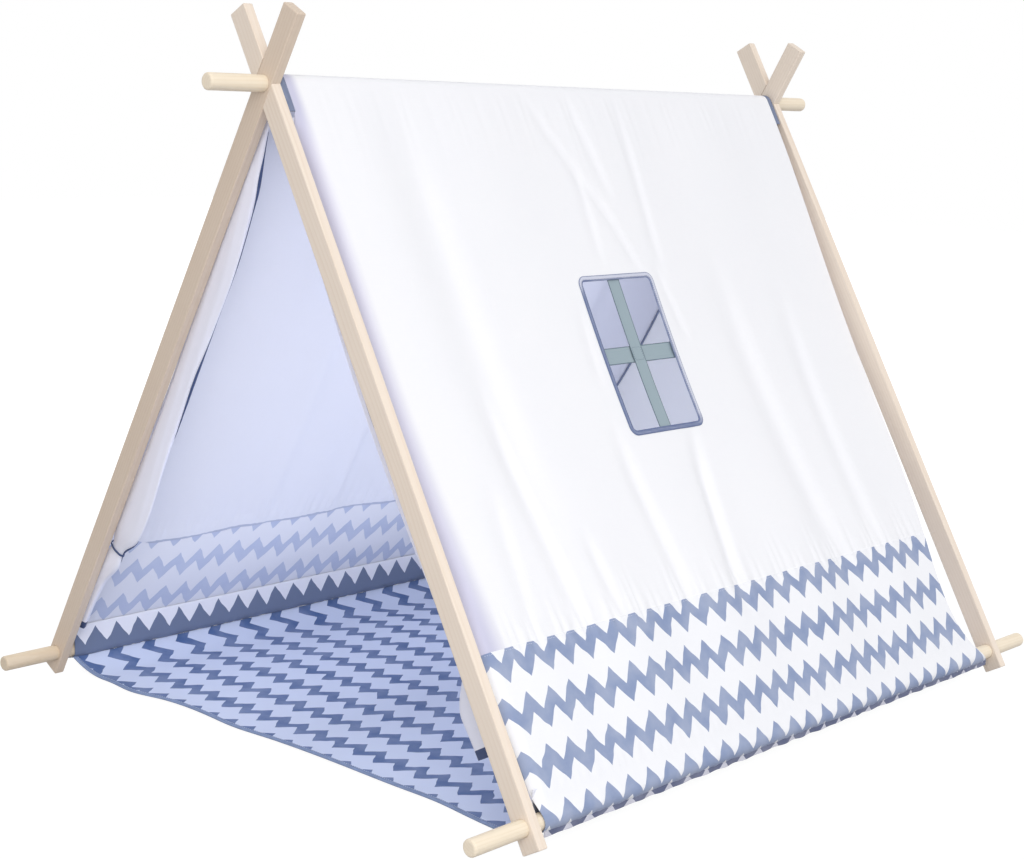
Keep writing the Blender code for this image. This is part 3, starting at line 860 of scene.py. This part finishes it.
# Painted shade: the tape's lower and left sides are painted darker, where the folded tape turns
# from the light. Its edges are darker as well, and slubs vary it.
shaded_from = window_height
shaded_to = 2 * window_height + window_width
tape_side_shade = tape_run.rise(shaded_from - 0.01, shaded_from + 0.02)
tape_side_shade = tape_side_shade * (1 - tape_run.rise(shaded_to - 0.01, shaded_to + 0.02))
tape_edges = 1 - tape_across.rise(0.0004, 0.0016) * (1 - tape_across.rise(0.0052, 0.0064))
tape_slub = tape_finish.noise(tape_run * 90, tape_across * 300, 0)
tape_dark = (tape_side_shade * 0.85 + tape_edges * 0.75 + (tape_slub - 0.5) * 0.8).rise(-0.1, 1.1)
tape_finish.surface("Base Color", tape_finish.mix(tape_dark, window_tape_pale, window_tape_dark))
tape_finish.relief(tape_slub, 0.00015)

tape_points, tape_runs = [], []
for grow, lift in zip(tape_grows, tape_lifts):
    run, down, along = window_line(grow)
    tape_points.append(cloth_point(1, down, along, lift))
    tape_runs.append(run)
window_binding = sewn(
    "window_binding",
    "window_tape",
    np.array(tape_points),
    (np.array(tape_runs), np.array(tape_grows)[:, None]),
    ("blue_tape", tape_finish.material),
    closed=True,
)
for number, (grow, lift) in enumerate(window_stitch_rows):
    line = window_line(grow)[1:]
    row = seam_stitches(f"window_stitches_{number}", 1, *line, lift, navy_thread, "blue_tape")

ribbon_finish = Finish("sage_ribbon", 0.75)
ribbon_across, ribbon_along = ribbon_finish.on_cloth()
ribbon_edge = ribbon_across.math("ABSOLUTE").rise(0.0105, 0.0122)
ribbon_threads = ribbon_finish.noise(ribbon_across * 1400, ribbon_along * 30, 0)
ribbon_share = (ribbon_edge + (ribbon_threads - 0.5) * 0.7).rise(-0.1, 1.0)
ribbon_finish.surface("Base Color", ribbon_finish.mix(ribbon_share, ribbon_green, ribbon_dark))
ribbon_finish.relief(ribbon_threads, 0.00015)
for ribbon_name, ribbon_lift in ribbon_lifts.items():
    upright = ribbon_name == "upright_ribbon"
    reach = (window_height if upright else window_width) / 2 + ribbon_overlap
    short_lines = lines(edged(-ribbon_width / 2, high=ribbon_width / 2), 0.003)
    long_way, short_way = grid(lines((-reach, reach), 0.005), short_lines)
    down, along = (long_way, short_way + upright_ribbon_off) if upright else (short_way, long_way)
    cup = ribbon_lift - ribbon_cup * np.cos(math.pi * short_way / ribbon_width)
    ribbon = sewn(
        ribbon_name,
        f"window_{ribbon_name}",
        cloth_point(1, window_middle + down, window_centre_y + along, cup),
        (short_way, long_way),
        ("sage_ribbon", ribbon_finish.material, ribbon_finish.material),
        ribbon_thickness,
        flipped=upright,
    )
    2 * reach

square = rounded_box(stitched_square, stitched_square, 0.001, 0.002)
square = square + (window_middle, window_centre_y + upright_ribbon_off)
ribbon_stitches = seam_stitches(
    "ribbon_stitches", 1, *square.T, stitched_square_lift, navy_thread, "sage_ribbon"
)


# The printed bands run from the seam under the white canvas round the base poles, and are sewn back
# to themselves as sleeves. White cotton, with rows of blue zigzag printed on its face that show
# through paler on its reverse.
print_blue = (0.250, 0.315, 0.490)
print_pale = (0.50, 0.56, 0.74)
print_white = (0.90, 0.905, 0.925)
# Painted shade: the reverse's white is darker and bluer than the face's, for the shade inside the
# tent.
shaded_reverse_white = (0.81, 0.82, 0.89)
ply_print = slope_run + 0.055
ink_edge = 0.0006
zigzag_fall = 0.485
zigzag_climb = 0.515
band_top = seam_at - 0.0015
band_length = canvas_back - canvas_front
pucker_height = 0.0007
pucker_reach = 0.010
ply_shift = (0.0155, 0.0270)
band_step = 0.0045
wrap_step = 0.0016
ply_step = 0.0030
band_step_along = 0.0042
stitch_rows_reach = 0.012
over_hem_lift = 0.0003
# Each print: where a row starts, the rows' pitch, a row's height, how far its edge falls, where a
# peak lies, how far apart the peaks are and the rows' drift down the cloth
band_prints = {
    "right": (0.7570, 0.0657, 0.0262, 0.0255, -0.323, 0.0386, 0.007),
    "left": (0.814, 0.0690, 0.0265, 0.027, -0.2915, 0.0393, 0.004),
}


def zigzag(name, blue, white, rows, pitch, height, rise, peaks, period, drift):
    """Zigzag rows on white cotton.

    Along a row the edge falls from a peak to a valley and back, a little faster than it climbs.
    Below that edge the cloth is blue for a row's height. The first row and first peak set where
    rows start, and slow noise keeps the edges as uneven as hand-cut ones. The ply inside a sleeve
    is blue from its row down to the fold."""
    finish = Finish(name, 0.92)
    along, down = finish.on_cloth()
    uneven = finish.noise(along * 42, down * 34, 5, detail=1.0) - 0.5
    shaky = finish.noise(along * 34, down * 42, 17, detail=1.0) - 0.5
    turn = ((along + uneven * 0.007 - peaks) / period).math("FRACT")
    fall = (turn / zigzag_fall).math("MINIMUM", (1 - turn) / zigzag_climb)
    past = (down + shaky * 0.006 - along * drift - fall * rise - rows) / pitch
    past = past.math("FRACT") * pitch
    inked = past.rise(0, ink_edge) * (1 - past.rise(height - ink_edge, height))
    inside_ply = down.rise(ply_print, ply_print + 0.0005)
    below_row = past.rise(pitch - 0.0256, pitch - 0.0250)
    below_row = below_row.math("MAXIMUM", 1 - past.rise(0.0010, 0.0012))
    by_fold = inside_ply * (1 - down.rise(ply_print + 0.0310, ply_print + 0.0315))
    inked = inked.math("MAXIMUM", by_fold * below_row)
    patch = finish.noise(along * 25, down * 25, 2)
    paler = [part * 0.82 + 0.18 * pale for part, pale in zip(blue, white)]
    # Painted shade: inside the ply the ink is deeper and the white is the reverse's darker, bluer
    # one, for the shade inside the tent.
    shaded_ink = [part * 0.62 for part in blue]
    ink = finish.mix(inside_ply, finish.mix(patch.rise(0.25, 0.75), blue, paler), shaded_ink)
    plain = finish.mix(inside_ply, white, shaded_reverse_white)
    return woven(finish, finish.mix(inked, plain, ink))


def printed(name, blue, white, pattern):
    """The printed face in its own colours, and a reverse on which the print shows paler."""
    face = zigzag(f"{name}_face", blue, white, *pattern)
    reverse = zigzag(f"{name}_reverse", print_pale, shaded_reverse_white, *pattern)
    return "printed_canvas", face, reverse


def band_grid(side):
    """The band from its seam, round the base pole and up to its stitch line, and its cloth."""
    stops = (band_top, band_top + edge_line, seam_at + 0.020)
    stops = (*stops, stitch_at - stitch_rows_reach, stitch_at + stitch_rows_reach, slope_run)
    runs = (lines(stops, band_step)[:-1], lines((slope_run, wrap_end), wrap_step)[:-1])
    down = np.concatenate((*runs, lines((wrap_end, sleeve_end), ply_step)))
    distance, column = grid(down, lines(edged(0, high=band_length), band_step_along))
    y = canvas_front + (back_edge(distance) - canvas_front) * (column / band_length)
    above_pole = 1 - smooth_rise(stitch_at, slope_run, distance)
    y = y + edge_reach(side, distance, y) * above_pole
    ripple = 0.5 + 0.5 * wave(y / 0.0165 + 0.3 * wave(y / 0.09))
    puckers = pucker_height * ripple * bump(distance, stitch_at, pucker_reach)
    puckers = puckers * (distance < slope_run)
    loose = between((slope_run - 0.020, slope_run), (wrap_end - 0.010, wrap_end), distance)
    looser = np.sin(2 * math.pi * y / 0.062 + 3 * wave(y / 0.21)) ** 2
    slack = loose * (0.0006 + 0.0009 * looser)
    over_hem = smooth_rise(seam_at + seam_lap, seam_at + seam_lap + 0.010, distance)
    over = over_hem_lift * (1 - over_hem)
    base = np.where(distance < slope_run, cloth_lift(side, distance, y), 0)
    points = slope_point(side, distance, y, base + puckers + slack + over)
    inside = smooth_rise(slope_run + 0.020, slope_run + 0.030, distance)
    return points, (y + ply_shift[0] * inside, distance + ply_shift[1] * inside)


bands = {}
for band_name, band_side in sides.items():
    bands[band_name] = sewn(
        f"{band_name}_band",
        f"{band_name}_base_band",
        *band_grid(band_side),
        printed(f"{band_name}_band", print_blue, print_white, band_prints[band_name]),
        cloth_thickness,
        flipped=band_side > 0,
    )


# The mat is of the same printed cotton, its colours painted darker and bluer: painted shade of the
# tent's inside. It lies on the ground between the sleeves, turns up to them at both sides, and its
# front edge is bound with blue tape.
mat_rise_width = 0.070
mat_edge_inset = 0.006
mat_edge_clearance = 0.0002
mat_front_bow = 0.018
mat_edge_x = base_pole_x - mat_edge_inset
mat_flat_x = 0.40
mat_to_tape = 0.001
mat_step = 0.0056
# Each bulge of the mat's front edge: its height along Y, the place of its middle and its reach
mat_front_bulges = ((-0.0115, -0.322, 0.050), (-0.006, -0.105, 0.060), (0.0045, 0.290, 0.060))
mat_swell = 0.0011
mat_on_tape = 0.0012
# Painted shade: both print colours are darker and bluer than the band's.
mat_shaded_blue = (0.064, 0.128, 0.315)
mat_shaded_white = (0.665, 0.735, 0.92)
mat_print = (0.0386, 0.0637, 0.0240, 0.0235, 0.115, 0.0395, 0.0)
mat_tape_blue = (0.19, 0.25, 0.40)
mat_tape_inwards = (0.0078, 0.0076, 0.0040, 0.0006, 0.0, 0.0006, 0.0040, 0.0076, 0.0078)
mat_tape_lifts = (0.0006, 0.0010, 0.0013, 0.0011, 0.0, -0.0010, -0.0011, -0.0009, -0.0006)


def mat_height(x):
    """Height of the mat's middle plane: flat on the ground, rising to the sleeves at both sides."""
    under = math.sqrt((wrap_radius + canvas_thickness / 2) ** 2 - mat_edge_inset**2)
    top = base_pole_z - under - canvas_thickness / 2 - 2 * seam_gap - mat_edge_clearance
    share = np.clip((np.abs(x) - mat_edge_x + mat_rise_width) / mat_rise_width, 0, 1)
    return canvas_thickness / 2 + (top - canvas_thickness / 2) * share * share


def mat_front(x):
    """Y of the bound front edge: bowed in between its held corners, and uneven as it lies."""
    share = np.abs(x) / mat_edge_x
    bowed = canvas_front + seam_gap + mat_front_bow * (1 - share**3)
    bulges = (height * bump(x, middle, reach) for height, middle, reach in mat_front_bulges)
    return bowed + sum(bulges)


def mat_point(x, y, lift=0.0):
    """World points of the mat, with its slight swells and its front edge on its own binding."""
    swell = np.sin(9 * x + 2.0 * np.sin(7 * y)) * np.sin(11 * y + 1.5 * np.sin(8 * x)) + 1
    held = smooth_rise(0, 0.10, mat_edge_x - np.abs(x)) * smooth_rise(0, 0.15, canvas_back - y)
    on_tape = mat_on_tape * (1 - smooth_rise(0.006, 0.030, y - mat_front(x)))
    return pile(x, y, mat_height(x) + mat_swell * swell * held + on_tape + lift)


mat_x = lines(edged(-mat_edge_x, -mat_flat_x, mat_flat_x, high=mat_edge_x), mat_step)
mat_rows, mat_columns = grid(lines((0, 0.001, 0.999, 1), mat_step), mat_x)
mat_low_y = mat_front(mat_columns) + mat_to_tape
mat_y = mat_low_y + (canvas_back - seam_gap - mat_low_y) * mat_rows
mat_cloth = sewn(
    "floor_mat_cloth",
    "floor_mat",
    mat_point(mat_columns, mat_y),
    (mat_columns, -mat_y),
    printed("mat", mat_shaded_blue, mat_shaded_white, mat_print),
    cloth_thickness,
)
front_y = mat_front(mat_x)
mat_tape_section = zip(mat_tape_inwards, mat_tape_lifts)
tape_lines = [mat_point(mat_x, front_y + inward, lift) for inward, lift in mat_tape_section]
mat_binding = sewn(
    "mat_binding",
    "mat_front_tape",
    np.array(tape_lines),
    (mat_x, np.array(mat_tape_inwards)[:, None]),
    taped("mat_tape", mat_tape_blue)[:2],
    flipped=True,
)
mat_stitch_x = np.arange(-mat_edge_x + 0.004, mat_edge_x - 0.003, stitch_pitch * 1.2)
mat_stitch_places = mat_point(mat_stitch_x, mat_front(mat_stitch_x) + 0.0062, 0.0013)
upwards = np.broadcast_to((0.0, 0.0, 1.0), mat_stitch_places.shape)
mat_stitches = stitches("mat_stitches", mat_stitch_places, upwards, white_thread)


# The seam that joins each sleeve to the mat is left with a raw strip that hangs below the sleeve,
# a little scalloped. Its print is painted darker than the band's: painted shade, under the sleeve
# by the ground.
strip_out = 0.0092
strip_down = 0.0096
strip_height = 0.0072
strip_thickness = 0.0007
strip_print_from = 0.850
strip_shaded_blue = (0.10, 0.12, 0.22)
strip_shaded_white = (0.66, 0.66, 0.74)
for strip_name, strip_side in sides.items():
    strip_y = lines((canvas_front + 0.002, canvas_back - 0.004), 0.004)
    below, y = grid(lines((0, 0.05, 0.95, 1), 0.2), strip_y)
    scallop = 0.08 * np.sin(2 * math.pi * y / 0.058 + 2 * wave(y / 0.17))
    x = base_pole_x + strip_out - 0.0004 * below + 0.0008 * wave(y / 0.045) * below
    z = base_pole_z - strip_down - strip_height * below * (1 + scallop)
    strip = sewn(
        f"{strip_name}_seam_strip",
        None,
        pile(strip_side * x, y, z),
        (y, strip_print_from + 0.010 * below),
        printed(f"{strip_name}_strip", strip_shaded_blue, strip_shaded_white, band_prints["right"]),
        strip_thickness,
        flipped=strip_side > 0,
    )


# The back wall is a triangle of white canvas, sewn along both slopes' back edges and standing on
# the mat. A dark piping closes the two corners inside.
wall_inset = 0.003
wall_top = 0.030
wall_gap = 0.0004
wall_to_mat = 0.0010
wall_to_sleeve = 0.002
wall_below_top = 0.0012
wall_wave_depth = 0.004
wall_step_down = 0.0066
wall_step_across = 0.0125
# Each wave of the wall's cloth: its share, its rate across, its shift and its drift with height
wall_waves = ((0.5, 13, 1.2, 0), (0.35, 31, 0, 4), (0.2, 57, 0, 0))
end_tape_blue = (0.16, 0.19, 0.28)
piping_width = 0.0045
piping_lift = 0.0011
piping_thickness = 0.0008

wall_last = crossing_height + sin_lean * wrap_radius - canvas_thickness - wall_below_top
wall_last = wall_last / cos_lean
wall_v = lines((0, 0.001, 0.999, 1), wall_step_down)
wall_rows, wall_columns = grid(wall_v, lines((-1, -0.998, 0.998, 1), wall_step_across))
wall_distance = wall_top + (wall_last - wall_top) * wall_rows
wall_edge_y = back_edge(wall_distance) - wall_inset
wall_lift = canvas_lift(-1, wall_distance, wall_edge_y) - canvas_thickness / 2 - wall_gap
wall_edge = slope_point(1, wall_distance, wall_edge_y, wall_lift)
wall_last_x = base_pole_x - wrap_radius - canvas_thickness / 2 - wall_to_sleeve
wall_x = wall_columns * np.minimum(wall_edge[..., 0], wall_last_x)
wall_floor = mat_height(wall_x) + canvas_thickness / 2 + wall_to_mat
wall_z = np.where(wall_rows < 1, np.maximum(wall_edge[..., 2], wall_floor), wall_floor)
wall_swell = np.sin(math.pi * wall_rows) ** 0.7 * (1 - wall_columns**2)
wall_wavy = 0
for share, rate, shift, drift in wall_waves:
    wall_wavy = wall_wavy + share * np.sin(rate * wall_x + shift + drift * wall_z)
wall_cloth = sewn(
    "back_wall_cloth",
    "back_wall",
    pile(wall_x, wall_edge_y + wall_wave_depth * wall_swell * wall_wavy, wall_z),
    (wall_x, -wall_z),
    white_canvas,
    cloth_thickness,
    flipped=True,
)

for piping_name, piping_side in sides.items():
    over = grid(wall_v, lines((0, 1), 0.25))[1]
    piping_x = wall_x[:, -1:] - piping_width * (0.02 + over)
    piping_y = wall_edge_y[:, :1] - piping_lift * (1 + 0.4 * np.sin(math.pi * over))
    piping = sewn(
        f"{piping_name}_wall_piping",
        None,
        pile(piping_side * piping_x, piping_y, wall_z[:, :1]),
        (wall_z[:, :1], piping_width * over),
        taped(f"{piping_name}_wall_piping_blue", end_tape_blue),
        piping_thickness,
        flipped=piping_side < 0,
    )


# Blue tape finishes the canvas's two ends over the ridge pole, down both slopes behind the legs. It
# lies just beyond the canvas's edge and follows its waves.
ridge_tape_drop = 0.045
ridge_tape_crown = 0.0005
ridge_tape_step = 0.0022
for tape_name, tape_side in (("front", -1), ("back", 1)):
    over = wrap_radius * ridge_wrap
    end = over + ridge_tape_drop
    turn = lines(edged(-end, -over, 0, over, high=end), ridge_tape_step)
    along, out = grid(turn, lines((0, 0.0004, 0.0096, 0.010), 0.002))
    distance = np.abs(along) - over
    edge = canvas_front if tape_side < 0 else back_edge(distance)
    crown = ridge_tape_crown * np.sin(math.pi * out / ridge_tape_width)
    lift = canvas_lift(-1, distance, edge) + crown
    tape = sewn(
        f"{tape_name}_end_tape",
        f"{tape_name}_ridge_tape",
        slope_point(np.sign(along + 1e-9), distance, edge + tape_side * (seam_gap + out), lift),
        (along, out),
        taped(f"{tape_name}_end_tape_blue", end_tape_blue),
        canvas_thickness,
        flipped=tape_side < 0,
    )


# A door curtain hangs inside each slope's front edge, rolled lengthwise and tied just above the
# band. Its free edge is bound with navy tape, which wanders in and out of sight on the roll's back,
# and below the tie the right one's tail hangs deeper into the tent.
curtain_width = 0.0150
curtain_inset = -0.0010
curtain_depth = 0.0365
curtain_depth_bumps = ((0.008, 0.25, 0.09), (0.018, 0.69, 0.11))
curtain_top = 0.050
curtain_taper = 0.100
curtain_taper_share = 0.45
curtain_clearance = 0.0006
curtain_bottoms = {"left": 0.915, "right": 0.878}
curtain_rolls = {"left": 2.4, "right": 3.3}
right_curtain_thinner = 0.016
right_curtain_tail = 0.044
left_curtain_narrow = 0.014
tail_run = 0.075
curtain_thickness = 0.0008
# Painted shade: the curtains' white is bluer than the canvas's, for their shade inside the tent.
curtain_shaded_white = (0.89, 0.895, 1.0)
roll_step = 0.0011
roll_cloth = 0.05
curtain_step = 0.0058
outer_roll_step = 0.016
inner_roll_step = 0.036
pinch_reach = 0.022
pinch_share = 0.48
binding_width = 0.007
binding_lift = 0.0010
binding_crown = 0.0003
bound_end_height = 0.0125
tie_width = 0.0030
tie_lift = 0.0024
tie_slant = 0.002
navy = (0.045, 0.070, 0.165)
# The turn at which the free edge lies out of sight, how far it comes round where it is in sight
# and, for each place where it comes further: how far, the place down the slope and its reach
hidden_turn = 1.50
seen_turn = 0.60
seen_from = (0.050, 0.080)
seen_to = (0.500, 0.570)
seen_further = ((0.66, 0.124, 0.040), (0.62, 0.430, 0.075), (1.25, 0.740, 0.032))


def curtain_point(side, turn, distance, off):
    """A point off the face of a rolled curtain. Turn 0 faces into the tent, a quarter the back.

    Its outline is an ellipse with two soft pleats, deeper where the cloth bunches above the tie,
    drawn in at the tie and thinner at the top, and held off the canvas."""
    gathered = smooth_rise(curtain_top, curtain_top + curtain_taper, distance)
    taper = 1 - curtain_taper_share * (1 - gathered)
    bunched = sum(by * bump(distance, place, reach) for by, place, reach in curtain_depth_bumps)
    below_tie = smooth_rise(tie_at, tie_at + tail_run, distance)
    tail = right_curtain_tail if side > 0 else -left_curtain_narrow
    depth = curtain_depth + bunched - right_curtain_thinner * (side > 0) + below_tie * tail
    pinch = 1 - pinch_share * bump(distance, tie_at, pinch_reach)
    pleats = 0.05 * np.cos(3 * turn + 0.8 * np.sin(9 * distance + side))
    pleats = pleats + 0.03 * np.cos(7 * turn - 19 * distance)
    size = (1 + pleats) * taper * pinch
    y = canvas_front + curtain_inset + (curtain_width / 2 * size + off) * np.sin(turn)
    middle = -sag(distance) - canvas_thickness - curtain_clearance - depth / 2 * taper
    lift = middle - (depth / 2 * size + off) * np.cos(turn)
    against_canvas = canvas_lift(side, distance, y) - canvas_thickness - curtain_clearance
    return slope_point(side, distance, y, np.minimum(lift, against_canvas + np.minimum(off, 0)))


def free_edge(distance):
    """The turn at which the curtain's free edge lies."""
    further = sum(by * bump(distance, place, reach) for by, place, reach in seen_further)
    return hidden_turn - seen_turn * between(seen_from, seen_to, distance) - further


navy_tape = taped("navy_tape", navy)
for curtain_name, curtain_side in (("left", -1), ("right", 1)):
    curtain_bottom = curtain_bottoms[curtain_name]
    curtain_stops = edged(curtain_top, tie_at - 0.03, tie_at + 0.03, high=curtain_bottom)
    curtain_rows = lines(curtain_stops, curtain_step)
    curtain_finish = Finish(f"{curtain_name}_curtain_face", 0.92)
    past_end = curtain_finish.on_cloth()[1] - (curtain_bottom - bound_end_height)
    curtain_colour = curtain_finish.mix(past_end.rise(0, 0.0005), curtain_shaded_white, navy)
    outer_roll = lines((0, 0.008, 1.0), outer_roll_step)[:-1]
    inner_roll = lines((1.0, curtain_rolls[curtain_name]), inner_roll_step)
    distance, roll = grid(curtain_rows, np.concatenate((outer_roll, inner_roll)))
    turn = free_edge(distance) - 2 * math.pi * roll
    curtain_cotton = woven(curtain_finish, curtain_colour)
    curtain = sewn(
        f"{curtain_name}_curtain",
        f"{curtain_name}_door_curtain",
        curtain_point(curtain_side, turn, distance, -roll_step * roll),
        (roll_cloth * roll, distance),
        ("white_canvas", curtain_cotton, curtain_cotton),
        curtain_thickness,
        flipped=curtain_side > 0,
    )

    off_edge = lines((-0.0035, -0.0031, 0.0031, 0.0035), 0.0012)
    distance, across = grid(curtain_rows, off_edge)
    turn = free_edge(distance) + across / (curtain_width / 2)
    crown = binding_lift + binding_crown * np.cos(math.pi * across / binding_width)
    curtain_binding = sewn(
        f"{curtain_name}_binding",
        f"{curtain_name}_curtain_tape",
        curtain_point(curtain_side, turn, distance, crown),
        (distance, across),
        navy_tape,
        curtain_thickness,
        flipped=curtain_side < 0,
    )

    half_tie = tie_width / 2
    band = lines((-half_tie, -half_tie + 0.0005, half_tie - 0.0005, half_tie), 0.001)
    width, turn = grid(band, lines((0, 2 * math.pi), 0.08))
    distance = tie_at + tie_slant * np.cos(turn) + width
    curtain_tie = sewn(
        f"{curtain_name}_tie",
        f"{curtain_name}_curtain_tie",
        curtain_point(curtain_side, turn, distance, tie_lift),
        (0.010 * turn, width),
        navy_tape,
        curtain_thickness,
        flipped=curtain_side < 0,
        closed=True,
    )


# White thread sews each band to its slope and runs beside the ridge.
seam_places = {"band": (seam_at + 0.0012, 0.00092), "ridge": (-0.009, 0.00062)}
seam_y = np.linspace(canvas_front + 0.004, canvas_back - 0.012, 400)
slope_thread = {}
for seam_name, seam_side in sides.items():
    slope_thread[seam_name] = []
    for place_name, (place, lift) in seam_places.items():
        row_name = f"{seam_name}_{place_name}_stitches"
        down = np.full_like(seam_y, place)
        row = seam_stitches(row_name, seam_side, down, seam_y, lift, white_thread)
        slope_thread[seam_name].append(row)

for band_name, band in bands.items():
    sleeve_end - seam_at
